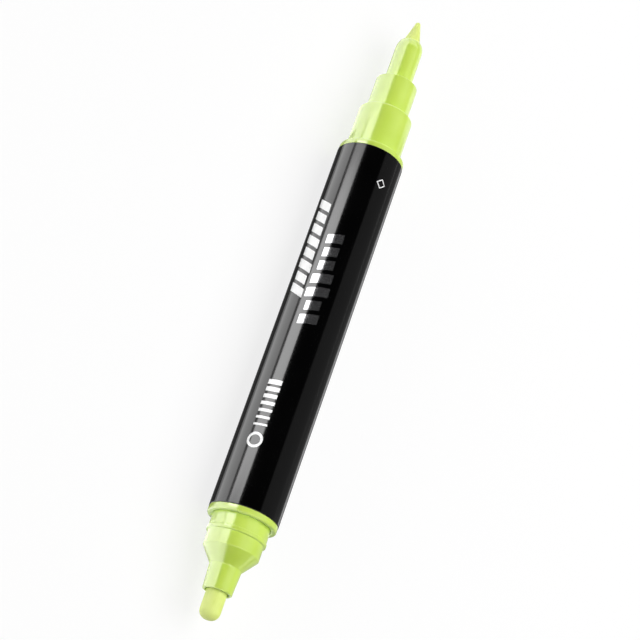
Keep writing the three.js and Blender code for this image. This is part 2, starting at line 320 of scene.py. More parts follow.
def addSection(tree, width, height, steps, radius):
    # A rectangle with rounded corners
    section = addStep(tree, "GeometryNodeCurvePrimitiveQuadrilateral", {
        "Width": width, "Height": height})
    return addStep(tree, "GeometryNodeFilletCurve", {
        "Curve": section, "Count": steps, "Radius": radius, "Limit Radius": True}, mode="POLY")


def makeRingTree():
    # A closed section swept once round the marker's axis: a tube with rounded ends, or a ring
    tree, source, result = startTree("sweptRing", {
        "Outer Radius": 0.0075, "Wall": 0.001, "Length": 0.0865, "Edge Round": 0.00012,
        "Corner Steps": 3, "Sides": 128, "Centre X": 0.0})
    halfWall = addMath(tree, "MULTIPLY", source["Wall"], 0.5)
    path = addStep(tree, "GeometryNodeCurvePrimitiveCircle", {
        "Resolution": source["Sides"],
        "Radius": addMath(tree, "SUBTRACT", source["Outer Radius"], halfWall)})
    section = addSection(
        tree, source["Wall"], source["Length"], source["Corner Steps"], source["Edge Round"])
    swept = addStep(tree, "GeometryNodeCurveToMesh", {"Curve": path, "Profile Curve": section})
    placed = addStep(tree, "GeometryNodeTransform", {
        "Geometry": swept, "Rotation": (0.0, math.pi / 2, 0.0),
        "Translation": addVector(tree, source["Centre X"], 0.0, source["Axis Height"])})
    return endTree(tree, placed, source, result)


def makeSpringTree():
    # A wound spring whose end turns lie closed and whose middle turns stand open
    tree, source, result = startTree("woundSpring", {
        "Radius": 0.0019, "Wire": 0.0004, "Wire Sides": 10, "Turns": 8.0, "End Turns": 1.0,
        "End Pitch": 0.00042, "Steps": 320, "Start X": 0.0, "Length": 0.01})
    line = addStep(tree, "GeometryNodeCurvePrimitiveLine", {
        "Start": (0.0, 0.0, 0.0), "End": (1.0, 0.0, 0.0)})
    points = addStep(tree, "GeometryNodeResampleCurve", {
        "Curve": line, "Count": source["Steps"]})
    along = addNode(tree, "GeometryNodeSplineParameter").outputs["Factor"]
    turn = addMath(tree, "MULTIPLY", along, source["Turns"])
    lastTurn = addMath(tree, "SUBTRACT", source["Turns"], source["End Turns"])
    closedPart = addMath(tree, "MULTIPLY", source["End Pitch"], source["End Turns"])
    stretch = addMath(tree, "MULTIPLY_ADD", closedPart, -2.0, source["Length"])
    climb = 0.0
    for start, end, rise in ((0.0, source["End Turns"], closedPart),
                             (source["End Turns"], lastTurn, stretch),
                             (lastTurn, source["Turns"], closedPart)):
        part = addStep(tree, "ShaderNodeMapRange", {
            "Value": turn, "From Min": start, "From Max": end, "To Min": 0.0, "To Max": rise})
        climb = addMath(tree, "ADD", climb, part)
    angle = addMath(tree, "MULTIPLY", turn, 2 * math.pi)
    x = addMath(tree, "ADD", climb, source["Start X"])
    y = addMath(tree, "MULTIPLY", addMath(tree, "SINE", angle), source["Radius"])
    z = addMath(tree, "MULTIPLY_ADD", addMath(tree, "COSINE", angle), source["Radius"],
                source["Axis Height"])
    wound = addStep(tree, "GeometryNodeSetPosition", {
        "Geometry": points, "Position": addVector(tree, x, y, z)})
    section = addStep(tree, "GeometryNodeCurvePrimitiveCircle", {
        "Resolution": source["Wire Sides"],
        "Radius": addMath(tree, "MULTIPLY", source["Wire"], 0.5)})
    swept = addStep(tree, "GeometryNodeCurveToMesh", {
        "Curve": wound, "Profile Curve": section, "Fill Caps": True})
    return endTree(tree, swept, source, result)


def addEvenly(tree, geometry, source, x=0.0):
    # Copies at even angles round the marker's axis
    points = addStep(tree, "GeometryNodePoints", {"Count": source["Count"]})
    step = addMath(tree, "DIVIDE", 2 * math.pi, source["Count"])
    turn = addMath(tree, "MULTIPLY", addStep(tree, "GeometryNodeInputIndex"), step)
    copies = addStep(tree, "GeometryNodeInstanceOnPoints", {
        "Points": points, "Instance": geometry, "Rotation": addVector(tree, turn)})
    return addStep(tree, "GeometryNodeTransform", {
        "Geometry": copies, "Translation": addVector(tree, x, 0.0, source["Axis Height"])})


def makeRoundTree():
    tree, source, result = startTree("evenlyRound", {"Geometry": None, "Count": 4})
    return endTree(tree, addEvenly(tree, source["Geometry"], source), source, result)


def makeWindowTree():
    # Cuts even windows with rounded corners through a tube round the marker's axis
    tree, source, result = startTree("cutWindows", {
        "Geometry": None, "Count": 4, "Window Width": 0.0016, "Window Length": 0.005,
        "Corner Steps": 4, "Corner Round": 0.0004, "Inner Reach": 0.002, "Outer Reach": 0.0045,
        "Centre X": 0.0})
    section = addSection(tree, source["Window Length"], source["Window Width"],
                         source["Corner Steps"], source["Corner Round"])
    path = addStep(tree, "GeometryNodeCurvePrimitiveLine", {
        "Start": addVector(tree, 0.0, 0.0, source["Inner Reach"]),
        "End": addVector(tree, 0.0, 0.0, source["Outer Reach"])})
    cutter = addStep(tree, "GeometryNodeCurveToMesh", {
        "Curve": path, "Profile Curve": section, "Fill Caps": True})
    real = addStep(tree, "GeometryNodeRealizeInstances", {
        "Geometry": addEvenly(tree, cutter, source, source["Centre X"])})
    cut = addStep(tree, "GeometryNodeMeshBoolean", {
        "Mesh 1": source["Geometry"], "Mesh 2": real}, operation="DIFFERENCE", solver="EXACT")
    return endTree(tree, cut, source, result)


wrapSockets = {"Radius": 0.00748, "Start X": 0.0, "Start Angle": 0.0, "Climb": 0.0, "Slant": 0.0,
               "Axis Height": 0.0075}


def makeWrapGroup():
    # Lays flat shapes on the barrel: x runs along it, y round it and z out of it
    tree, source, result = makeGroup("wrapOnBarrel", {"Geometry": None, **wrapSockets})
    place = addStep(tree, "GeometryNodeInputPosition")
    x, y, z = addNode(tree, "ShaderNodeSeparateXYZ", {"Vector": place}).outputs
    along = addMath(tree, "MULTIPLY_ADD", y, source["Slant"], x)
    angle = addMath(tree, "DIVIDE", y, source["Radius"])
    angle = addMath(tree, "MULTIPLY_ADD", x, source["Climb"], angle)
    angle = addMath(tree, "ADD", angle, source["Start Angle"])
    reach = addMath(tree, "ADD", z, source["Radius"])
    wrapped = addVector(
        tree, addMath(tree, "ADD", along, source["Start X"]),
        addMath(tree, "MULTIPLY", addMath(tree, "SINE", angle), reach),
        addMath(tree, "MULTIPLY_ADD", addMath(tree, "COSINE", angle), reach,
                source["Axis Height"]))
    moved = addStep(tree, "GeometryNodeSetPosition", {
        "Geometry": source["Geometry"], "Position": wrapped})
    tree.links.new(moved, result["Geometry"])
    return tree


def addWrap(tree, geometry, source):
    return addStep(tree, "GeometryNodeGroup", {
        "Geometry": geometry, **{label: source[label] for label in wrapSockets}},
        node_tree=wrapGroup)


def makeBarsTree():
    # A printed column of slanted bars with uneven lengths
    tree, source, result = startTree("printedBars", {
        "Count": 9, "Pitch": 0.0032, "Bar Width": 0.002, "Width Growth": 0.0,
        "Short Bar": 0.004, "Long Bar": 0.006, "Seed": 1, "Film": 0.00003, **wrapSockets})
    bar = addStep(tree, "GeometryNodeMeshCube", {
        "Size": (1.0, 1.0, 1.0), "Vertices X": 2, "Vertices Y": 12, "Vertices Z": 2})
    spots = addStep(tree, "GeometryNodeMeshLine", {
        "Count": source["Count"], "Start Location": (0.0, 0.0, 0.0),
        "Offset": addVector(tree, source["Pitch"])}, mode="OFFSET")
    width = addMath(tree, "MULTIPLY_ADD", addStep(tree, "GeometryNodeInputIndex"),
                    source["Width Growth"], source["Bar Width"])
    length = addNode(tree, "FunctionNodeRandomValue", data_type="FLOAT")
    for label, name in (("Short Bar", "Min"), ("Long Bar", "Max"), ("Seed", "Seed")):
        target = [s for s in length.inputs if s.name == name and s.enabled][0]
        tree.links.new(source[label], target)
    size = addVector(tree, width, [s for s in length.outputs if s.enabled][0], source["Film"])
    bars = addStep(tree, "GeometryNodeInstanceOnPoints", {
        "Points": spots, "Instance": bar, "Scale": size})
    real = addStep(tree, "GeometryNodeRealizeInstances", {"Geometry": bars})
    return endTree(tree, addWrap(tree, real, source), source, result)


def makeLoopTree():
    # A printed closed line: a ring, or a diamond when it has four corners
    tree, source, result = startTree("printedLoop", {
        "Corners": 48, "Cuts": 5, "Loop Radius": 0.0012, "Line Width": 0.0004, "Film": 0.00003,
        **wrapSockets})
    path = addStep(tree, "GeometryNodeCurvePrimitiveCircle", {
        "Resolution": source["Corners"], "Radius": source["Loop Radius"]})
    fine = addStep(tree, "GeometryNodeSubdivideCurve", {"Curve": path, "Cuts": source["Cuts"]})
    section = addStep(tree, "GeometryNodeCurvePrimitiveQuadrilateral", {
        "Width": source["Line Width"], "Height": source["Film"]})
    swept = addStep(tree, "GeometryNodeCurveToMesh", {"Curve": fine, "Profile Curve": section})
    return endTree(tree, addWrap(tree, swept, source), source, result)


wrapGroup = makeWrapGroup()
ringTree, springTree = makeRingTree(), makeSpringTree()
roundTree, windowTree = makeRoundTree(), makeWindowTree()
barsTree, loopTree = makeBarsTree(), makeLoopTree()
print("Geometry Nodes trees made")


# Turned pieces

turning = {"steps": 128, "cornerSteps": 4, "shoulderSteps": 10}


def roundCorner(before, corner, after, radius, steps):
    # Points of an arc of this radius that takes the place of a corner
    towards = [(Vector(p) - Vector(corner)) for p in (before, after)]
    room = min(vector.length for vector in towards) / 2
    towards = [vector.normalized() for vector in towards]
    halfAngle = towards[0].angle(towards[1]) / 2
    reach = min(radius / math.tan(halfAngle), room)
    radius = reach * math.tan(halfAngle)
    bisector = (towards[0] + towards[1]).normalized()
    centre = Vector(corner) + bisector * (radius / math.sin(halfAngle))
    start = (Vector(corner) + towards[0] * reach - centre).normalized()
    end = (Vector(corner) + towards[1] * reach - centre).normalized()
    return [tuple(centre + start.slerp(end, i / steps) * radius) for i in range(steps + 1)]


def outline(*corners):
    # Corners are (radius, out), or (radius, out, rounding), where an arc takes the corner's place
    points = []
    for i, corner in enumerate(corners):
        if len(corner) == 2:
            points.append(tuple(corner))
            continue
        before, after = corners[i - 1][:2], corners[(i + 1) % len(corners)][:2]
        points += roundCorner(before, corner[:2], after, corner[2], turning["cornerSteps"])
    return points


def shoulder(start, end, steps=turning["shoulderSteps"]):
    # A rounded shoulder that leaves one radius straight and meets the next one flat
    angles = [i / steps * math.pi / 2 for i in range(steps + 1)]
    return [(end[0] + (start[0] - end[0]) * math.cos(angle),
             start[1] + (end[1] - start[1]) * math.sin(angle)) for angle in angles]


def turnMesh(name, points, faceX, wayOut):
    steps = turning["steps"]
    shape = bmesh.new()
    rings = []
    for radius, out in points:
        x = faceX + wayOut * out * mm
        if radius == 0:
            rings.append([shape.verts.new((x, 0, axisHeight))])
            continue
        angles = [2 * math.pi * i / steps for i in range(steps)]
        rings.append([shape.verts.new((x, radius * mm * math.sin(angle),
                                       axisHeight + radius * mm * math.cos(angle)))
                      for angle in angles])
    closed = points[0][0] != 0
    pairs = list(zip(rings, rings[1:])) + ([(rings[-1], rings[0])] if closed else [])
    for here, there in pairs:
        for i in range(steps):
            nextI = (i + 1) % steps
            corners = [here[i % len(here)], here[nextI % len(here)],
                       there[nextI % len(there)], there[i % len(there)]]
            shape.faces.new(list(dict.fromkeys(corners)))
    mesh = toMesh(name, shape)
    tidyNormals(mesh)
    return mesh


def addTurned(name, points, end, finish, body, nodes):
    faceX, wayOut = ends[end]
    mesh = turnMesh(name, points, faceX, wayOut)
    mesh.materials.append(materials[finish])
    addPiece(name, mesh, body, nodes)


def nodeSpan(node, end):
    # Innermost and outermost distance out of the barrel of a node, and its radius
    low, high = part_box(node)
    faceX, wayOut = ends[end]
    spans = sorted(((low.x - faceX) * wayOut / mm, (high.x - faceX) * wayOut / mm))
    return spans[0], spans[1], (high.z - low.z) / 2 / mm


barrel = {"skinInset": 0.02, "wall": 1.0, "endRound": 0.12}
barrelLength = (barrelHigh.x - barrelLow.x) / mm
barrelRadius = (barrelHigh.z - barrelLow.z) / 2 / mm
barrelSkin = barrelRadius - barrel["skinInset"]


def makeBarrel():
    mesh = buildByNodes("barrel_tube", ringTree, "barrelPlastic", {
        "Outer Radius": barrelSkin * mm, "Wall": barrel["wall"] * mm,
        "Length": barrelLength * mm, "Edge Round": barrel["endRound"] * mm,
        "Centre X": axisPoint.x})
    addPiece("barrel_tube", mesh, "marker_body", ["barrel"])


collar = {
    "plugLeadIn": 0.5, "grooveFront": -7.2, "grooveWidth": 1.1, "grooveRadius": 5.62,
    "socketRadius": 5.25, "socketRound": 0.1, "snapRadius": 5.5, "snapFront": -2.2,
    "snapRear": -3.0, "snapSlope": 0.25, "ledge": -5.4, "tubeHole": 3.83, "flangeRear": 0.05,
    "rearRound": 0.08, "edgeRound": 0.28, "recessDepth": 0.2, "recessRoom": 0.2,
    "recessRound": 0.06, "plugGap": 0.03}


def makeCollar(end, noseRadius):
    node, shape = f"{end}_collar", collar
    rear, front, flangeRadius = nodeSpan(node, end)
    plug = barrelRadius - barrel["wall"] - shape["plugGap"]
    recess = noseRadius + shape["recessRoom"]
    floor = front - shape["recessDepth"]
    grooveFront, groove = shape["grooveFront"], shape["grooveRadius"]
    grooveRear = grooveFront - shape["grooveWidth"]
    socket, snap, slope = shape["socketRadius"], shape["snapRadius"], shape["snapSlope"]
    addTurned(node + "_turned", outline(
        (shape["tubeHole"], rear), (plug, rear, shape["plugLeadIn"]), (plug, grooveRear),
        (groove, grooveRear), (groove, grooveFront), (plug, grooveFront),
        (plug, shape["flangeRear"]), (flangeRadius, shape["flangeRear"], shape["rearRound"]),
        (flangeRadius, front, shape["edgeRound"]), (recess, front, shape["recessRound"]),
        (recess, floor), (socket, floor, shape["socketRound"]),
        (socket, shape["snapFront"] + slope), (snap, shape["snapFront"]),
        (snap, shape["snapRear"]), (socket, shape["snapRear"] - slope),
        (socket, shape["ledge"]), (shape["tubeHole"], shape["ledge"])),
        end, "limePlastic", "marker_body", [node])


nose = {
    "spigotRadius": 5.22, "leadIn": 0.2, "snapRadius": 5.47, "snapRear": -2.97,
    "snapFront": -2.23, "snapSlope": 0.25, "seat": 1.2, "chamber": 4.0, "seatRound": 0.12}
bulletNose = {
    "body": 6.2, "beadStart": 4.0, "beadEnd": 5.0, "bead": 6.35, "beadRound": 0.15,
    "fillet": 0.1, "step": 5.95, "coneStart": 8.0, "coneRound": 0.35, "coneEnd": 11.3,
    "coneFillet": 0.5, "tubeRear": 3.42, "tube": 3.12, "mouthRound": 0.22, "mouthWall": 0.55,
    "lipRound": 0.12, "boreRound": 0.8}
# The bores are (radius, out), from the mouth to the rear
fineNose = {
    "body": 6.15, "bodyEnd": 11.95, "bodyRound": 0.5, "middle": 4.78, "middleEnd": 20.45,
    "middleRound": 0.3, "fillet": 0.4, "tube": 3.1, "tubeEnd": 29.4, "mouth": 31.9,
    "mouthBore": 1.9, "mouthWall": 0.2,
    "bores": [(1.9, 29.8), (2.3, 29.0), (2.3, 20.5), (3.58, 19.3), (3.58, 12.4), (4.0, 11.2)]}


def noseSpigot(rear, bodyRadius):
    return [
        (nose["spigotRadius"], rear, nose["leadIn"]),
        (nose["spigotRadius"], nose["snapRear"] - nose["snapSlope"]),
        (nose["snapRadius"], nose["snapRear"]), (nose["snapRadius"], nose["snapFront"]),
        (nose["spigotRadius"], nose["snapFront"] + nose["snapSlope"]),
        (nose["spigotRadius"], nose["seat"]), (bodyRadius, nose["seat"], nose["seatRound"])]


def makeBulletNose():
    rear, front, _ = nodeSpan("bullet_nose", "bullet")
    shape = bulletNose
    mouth = shape["tube"] - shape["mouthWall"]
    rounding = shape["beadRound"]
    points = outline(
        (nose["chamber"], rear), *noseSpigot(rear, shape["body"]),
        (shape["body"], shape["beadStart"], shape["fillet"]),
        (shape["bead"], shape["beadStart"] + rounding, rounding),
        (shape["bead"], shape["beadEnd"] - rounding, rounding),
        (shape["step"], shape["beadEnd"], shape["fillet"]),
        (shape["step"], shape["coneStart"], shape["coneRound"]),
        (shape["tubeRear"], shape["coneEnd"], shape["coneFillet"]),
        (shape["tube"], front, shape["mouthRound"]), (mouth, front, shape["lipRound"]),
        (mouth, shape["coneEnd"], shape["boreRound"]),
        (nose["chamber"], shape["coneStart"], shape["boreRound"]))
    addTurned("bullet_nose_turned", points, "bullet", "limePlastic", "marker_body",
              ["bullet_nose"])


def makeFineNose():
    rear, _, _ = nodeSpan("fine_nose", "fine")
    shape = fineNose
    points = outline(
        (nose["chamber"], rear), *noseSpigot(rear, shape["body"]),
        (shape["body"], shape["bodyEnd"], shape["bodyRound"]),
        (shape["middle"], shape["bodyEnd"], shape["fillet"]),
        (shape["middle"], shape["middleEnd"], shape["middleRound"]),
        (shape["tube"], shape["middleEnd"], shape["fillet"]),
        *shoulder((shape["tube"], shape["tubeEnd"]),
                  (shape["mouthBore"] + shape["mouthWall"], shape["mouth"])),
        (shape["mouthBore"], shape["mouth"]), *shape["bores"])
    addTurned("fine_nose_turned", points, "fine", "limePlastic", "marker_body",
              ["fine_nose"])


nibs = {
    "rearChamfer": 0.25, "domeLength": 2.1, "domePower": 2.3, "domeSteps": 14,
    "coneStart": 32.6, "coneRound": 0.4, "pointStart": 36.95, "pointRadius": 0.65,
    "pointSteps": 8}


def makeBulletNib():
    rear, front, radius = nodeSpan("bullet_nib", "bullet")
    steps, power = nibs["domeSteps"], nibs["domePower"]
    dome = []
    for i in range(steps + 1):
        angle = i / steps * math.pi / 2
        dome.append((radius * math.cos(angle) ** (2 / power),
                     front - nibs["domeLength"] * (1 - math.sin(angle) ** (2 / power))))
    points = outline((0, rear), (radius, rear, nibs["rearChamfer"]), *dome[:-1], (0, front))
    addTurned("bullet_nib_fibre", points, "bullet", "nibFibre", "bullet_tip",
              ["bullet_nib"])


def makeFineNib():
    rear, front, radius = nodeSpan("fine_nib", "fine")
    point = shoulder((nibs["pointRadius"], nibs["pointStart"]), (0, front), nibs["pointSteps"])
    points = outline((0, rear), (radius, rear, nibs["rearChamfer"]),
                     (radius, nibs["coneStart"], nibs["coneRound"]), *point[:-1], (0, front))
    addTurned("fine_nib_fibre", points, "fine", "nibFibre", "fine_tip",
              ["fine_nib"])


# Prints on the barrel: plain bars and marks. "x" is measured from the barrel's middle towards the
# fine tip, "angle" from the camera's side of the marker.
prints = {
    "film": 0.03,
    "whiteBars": {"count": 8, "pitch": 3.0, "width": 2.1, "growth": 0.0, "short": 3.3,
                  "long": 4.2, "slant": 0.5, "x": 6.1, "angle": -47.5, "endAngle": -53.0,
                  "seed": 4, "finish": "whiteInk"},
    "foilBars": {"count": 7, "pitch": 3.25, "width": 2.2, "growth": 0.0, "short": 3.2,
                 "long": 4.9, "slant": -0.2, "x": -0.4, "angle": -8.5, "endAngle": -11.0,
                 "seed": 9, "finish": "silverFoil"},
    "scaleBars": {"count": 7, "pitch": 1.62, "width": 0.45, "growth": 0.11, "short": 3.1,
                  "long": 3.1, "slant": 0.0, "x": -25.6, "angle": -24.5, "endAngle": -24.5,
                  "seed": 1, "finish": "whiteInk"},
    "scaleRing": {"corners": 48, "radius": 1.45, "line": 0.55, "x": -29.1, "angle": -24.5,
                  "finish": "whiteInk"},
    "diamond": {"corners": 4, "radius": 1.05, "line": 0.22, "x": 35.6, "angle": 32.0,
                "finish": "whiteInk"},
}


def printValues(look):
    return {"Radius": barrelSkin * mm, "Start X": axisPoint.x + look["x"] * mm,
            "Start Angle": facing(look["angle"]), "Film": prints["film"] * mm}


def makeBars(name, look):
    run = look["count"] * look["pitch"] * mm
    climb = (facing(look["endAngle"]) - facing(look["angle"])) / run
    mesh = buildByNodes(name, barsTree, look["finish"], {
        "Count": look["count"], "Pitch": look["pitch"] * mm, "Bar Width": look["width"] * mm,
        "Width Growth": look["growth"] * mm, "Short Bar": look["short"] * mm,
        "Long Bar": look["long"] * mm, "Seed": look["seed"], "Climb": climb,
        "Slant": look["slant"], **printValues(look)})
    addPiece(name, mesh, "marker_body")


def makeLoop(name, look):
    mesh = buildByNodes(name, loopTree, look["finish"], {
        "Corners": look["corners"], "Loop Radius": look["radius"] * mm,
        "Line Width": look["line"] * mm, **printValues(look)})
    addPiece(name, mesh, "marker_body")


# Four ribs inside each nose that hold the nib straight and let paint pass. Each stands on the
# bores of the nose, listed with the distance out that each one ends at.
ribs = {
    "count": 4, "width": 0.9, "start": 3.0, "nibGap": 0.1, "bedded": 0.15, "leadIn": 0.5,
    "bullet": [(4.0, 8.6), (2.57, 15.8)], "fine": [(4.0, 11.2), (3.58, 19.4), (2.3, 29.0)]}


def makeRibs(end):
    _, _, nibRadius = nodeSpan(f"{end}_nib", end)
    inner, leadIn, start = nibRadius + ribs["nibGap"], ribs["leadIn"], ribs["start"]
    profile = [(start + leadIn, inner), (start, inner + leadIn)]
    for bore, stop in ribs[end]:
        profile += [(start, bore + ribs["bedded"]), (stop, bore + ribs["bedded"])]
        start = stop
    profile.append((start, inner))
    faceX, wayOut = ends[end]
    shape = bmesh.new()
    sides = [[shape.verts.new((faceX + wayOut * out * mm, y * mm, radius * mm))
              for out, radius in profile] for y in (-ribs["width"] / 2, ribs["width"] / 2)]
    for corners in sides:
        shape.faces.new(corners)
    for i in range(len(profile)):
        k = (i + 1) % len(profile)
        shape.faces.new((sides[0][i], sides[0][k], sides[1][k], sides[1][i]))
    name = f"{end}_nose_ribs"
    mesh = buildByNodes(
        name, roundTree, "limePlastic", {"Count": ribs["count"]}, toMesh("oneRib", shape))
    addPiece(name, mesh, "marker_body")


makeBarrel()
for name in ("whiteBars", "foilBars", "scaleBars"):
    makeBars(name, prints[name])
for name in ("scaleRing", "diamond"):
    makeLoop(name, prints[name])
makeRibs("bullet")
makeRibs("fine")
print("barrel, prints and ribs made")

makeCollar("bullet", bulletNose["body"])
makeCollar("fine", fineNose["body"])
makeBulletNose()
makeFineNose()
makeBulletNib()
makeFineNib()
print("turned pieces made")

# The valve set inside each end, as distances out of the barrel
valve = {
    "plateRear": -5.35, "plateFront": -4.2, "plate": 5.22, "hole": 1.5, "tube": 3.8, "bore": 2.9,
    "tubeEnd": -17.95, "seatGap": 0.05, "windows": 4, "windowWidth": 1.6, "windowLength": 5.0,
    "windowMiddle": -12.85, "windowRound": 0.5, "cutterReach": 1.0, "tubeRound": 0.15,
    "plateRearRound": 0.12, "plateFrontRound": 0.2, "holeRound": 0.25, "roofRound": 0.08}


def makeValveBody(end):
    node, shape = f"{end}_valve_body", valve
    faceX, wayOut = ends[end]
    roof = shape["plateRear"] - shape["seatGap"]
    tube, plate, rounding = shape["tube"], shape["plate"], shape["tubeRound"]
    points = outline(
        (shape["bore"], shape["tubeEnd"], rounding), (tube, shape["tubeEnd"], rounding),
        (tube, shape["plateRear"]), (plate, shape["plateRear"], shape["plateRearRound"]),
        (plate, shape["plateFront"], shape["plateFrontRound"]),
        (shape["hole"], shape["plateFront"], shape["holeRound"]),
        (shape["hole"], roof, shape["roofRound"]), (shape["bore"], roof))
    mesh = buildByNodes(node + "_windowed", windowTree, "valvePlastic", {
        "Count": shape["windows"], "Window Width": shape["windowWidth"] * mm,
        "Window Length": shape["windowLength"] * mm, "Corner Round": shape["windowRound"] * mm,
        "Inner Reach": (shape["bore"] - shape["cutterReach"]) * mm,
        "Outer Reach": (tube + shape["cutterReach"]) * mm,
        "Centre X": faceX + wayOut * shape["windowMiddle"] * mm},
        turnMesh(node, points, faceX, wayOut))
    addPiece(node + "_windowed", mesh, "marker_body", [node])


seal = {"innerRearRound": 0.15, "outerRearRound": 0.1, "outerFrontRound": 0.06,
        "innerFrontRound": 0.12}


def makeSeal(end):
    node = f"{end}_valve_seal"
    rear, front, radius = nodeSpan(node, end)
    addTurned(node + "_ring", outline(
        (valve["hole"], rear, seal["innerRearRound"]), (radius, rear, seal["outerRearRound"]),
        (radius, front, seal["outerFrontRound"]),
        (valve["hole"], front, seal["innerFrontRound"])),
        end, "sealRubber", "marker_body", [node])


plunger = {
    "pad": 1.35, "padThickness": 0.8, "stem": 1.1, "poppet": 2.3, "poppetRear": -7.2,
    "poppetFront": -6.2, "guidePin": 1.2, "pinRound": 0.25, "pinFillet": 0.1,
    "poppetRearRound": 0.12, "poppetFrontRound": 0.15, "stemFillet": 0.2, "padFillet": 0.1,
    "padRearRound": 0.08, "padRound": 0.15,
    "joints": {"bullet": "bullet_tip_press", "fine": "fine_tip_press"}}


def makePlunger(end):
    node, shape = f"{end}_plunger", plunger
    rear, front, _ = nodeSpan(node, end)
    padRear = front - shape["padThickness"]
    addTurned(node + "_turned", outline(
        (0, rear), (shape["guidePin"], rear, shape["pinRound"]),
        (shape["guidePin"], shape["poppetRear"], shape["pinFillet"]),
        (shape["poppet"], shape["poppetRear"], shape["poppetRearRound"]),
        (shape["poppet"], shape["poppetFront"], shape["poppetFrontRound"]),
        (shape["stem"], shape["poppetFront"], shape["stemFillet"]),
        (shape["stem"], padRear, shape["padFillet"]),
        (shape["pad"], padRear, shape["padRearRound"]),
        (shape["pad"], front, shape["padRound"]), (0, front)),
        end, "valvePlastic", f"{end}_tip", [node])


retainer = {
    "hole": 1.0, "plug": 2.87, "flange": 3.8, "flangeFront": -18.0, "holeRearRound": 0.12,
    "flangeRearRound": 0.15, "flangeRound": 0.1, "plugRound": 0.25, "holeRound": 0.2}


def makeRetainer(end):
    node, shape = f"{end}_spring_retainer", retainer
    rear, front, _ = nodeSpan(node, end)
    addTurned(node + "_turned", outline(
        (shape["hole"], rear, shape["holeRearRound"]),
        (shape["flange"], rear, shape["flangeRearRound"]),
        (shape["flange"], shape["flangeFront"], shape["flangeRound"]),
        (shape["plug"], shape["flangeFront"]), (shape["plug"], front, shape["plugRound"]),
        (shape["hole"], front, shape["holeRound"])),
        end, "valvePlastic", "marker_body", [node])


oRing = {"cord": 0.84, "cornerSteps": 6, "sides": 96}


def makeORing(end):
    node = f"{end}_o_ring"
    low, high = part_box(node)
    cord = oRing["cord"] * mm
    mesh = buildByNodes(node + "_cord", ringTree, "sealRubber", {
        "Outer Radius": (high.z - low.z) / 2, "Wall": cord, "Length": cord,
        "Edge Round": cord / 2, "Corner Steps": oRing["cornerSteps"], "Sides": oRing["sides"],
        "Centre X": (low.x + high.x) / 2})
    addPiece(node + "_cord", mesh, "marker_body", [node])


spring = {"wire": 0.4, "turns": 8.0, "endTurns": 1.0, "endPitch": 0.42, "steps": 400,
          "stroke": 2.5}


def makeSpring(end):
    node = f"{end}_spring"
    low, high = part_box(node)
    wire = spring["wire"] * mm
    mesh = buildByNodes(node + "_wound", springTree, "springSteel", {
        "Radius": (high.z - low.z - wire) / 2, "Wire": wire, "Turns": spring["turns"],
        "End Turns": spring["endTurns"], "End Pitch": spring["endPitch"] * mm,
        "Steps": spring["steps"], "Start X": low.x + wire / 2,
        "Length": high.x - low.x - wire})
    piece = addPiece(node + "_wound", mesh, "marker_body", [node])
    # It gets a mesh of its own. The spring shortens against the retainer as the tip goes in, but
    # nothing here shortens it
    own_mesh(piece)


def makeBall():
    low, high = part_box("mixing_ball")
    middle, radius = (low + high) / 2, (high.z - low.z) / 2 / mm
    steps = turning["steps"] // 4
    points = [(radius * math.sin(math.pi * i / steps), -radius * math.cos(math.pi * i / steps))
              for i in range(1, steps)]
    mesh = turnMesh("mixing_ball_round", [(0, -radius), *points, (0, radius)], middle.x, 1)
    mesh.transform(Matrix.Translation((0, 0, middle.z - axisHeight)))
    mesh.materials.append(materials["springSteel"])
    addPiece("mixing_ball_round", mesh, "loose_ball", ["mixing_ball"])


for end in ends:
    makeValveBody(end)
    makeSeal(end)
    makePlunger(end)
    makeRetainer(end)
    makeORing(end)
    makeSpring(end)
makeBall()
print("valves, springs and ball made")


# Floor, lights and camera

def makeCamera():
    tilt, roll = math.radians(view["tilt"]), math.radians(view["roll"])
    along = Vector((1, 0, 0))
    forward = along * math.sin(tilt) - near * math.cos(tilt)
    level = along * math.cos(tilt) + near * math.sin(tilt)
    right = side * math.cos(roll) + level * math.sin(roll)
    up = level * math.cos(roll) - side * math.sin(roll)
    place = axisPoint - forward * view["distance"] * mm
    place += up * view["belowCentre"] * mm - right * view["rightOfCentre"] * mm
    data = bpy.data.cameras.new("pictureCamera")
    data.lens = view["lens"]
    data.sensor_width = view["sensor"]
    data.clip_start = 0.01
    camera = addObject("pictureCamera", data)
    axes = Matrix((right, up, -forward)).transposed().to_4x4()
    camera.matrix_world = Matrix.Translation(place) @ axes
    bpy.context.scene.camera = camera


# Angles are measured round the marker's axis from the camera's side, to the right in the picture.
# Lengths are in metres; "along" is how far the light's middle lies towards the fine tip.
softboxes = {
    "leftStrip": {"angle": -46.5, "spread": 35.0, "distance": 0.5, "along": 0.1,
                  "length": 1.8, "brightness": 2.2, "sheen": True},
    "stripMiddle": {"angle": -46.5, "spread": 35.0, "distance": 0.47, "along": 0.192,
                    "length": 0.176, "brightness": 3.0, "sheen": True},
    "rightHaze": {"angle": 82.0, "spread": 74.0, "distance": 0.6, "along": 0.1,
                  "length": 2.0, "brightness": 0.15, "sheen": True},
    "frontGlint": {"angle": 15.0, "spread": 86.0, "distance": 0.6, "along": -0.34,
                   "length": 0.3, "brightness": 2.1, "sheen": True},
    "rearGlint": {"angle": 15.0, "spread": 100.0, "distance": 0.35, "along": 1.8,
                  "length": 2.8, "brightness": 1.1, "sheen": True},
    "mainFill": {"angle": 50.0, "spread": 60.0, "distance": 1.0, "along": 0.14,
                 "length": 1.1, "brightness": 3.7, "sheen": False},
    "leftFill": {"angle": -52.0, "spread": 36.0, "distance": 1.1, "along": 0.0,
                 "length": 1.4, "brightness": 1.75, "sheen": False},
}


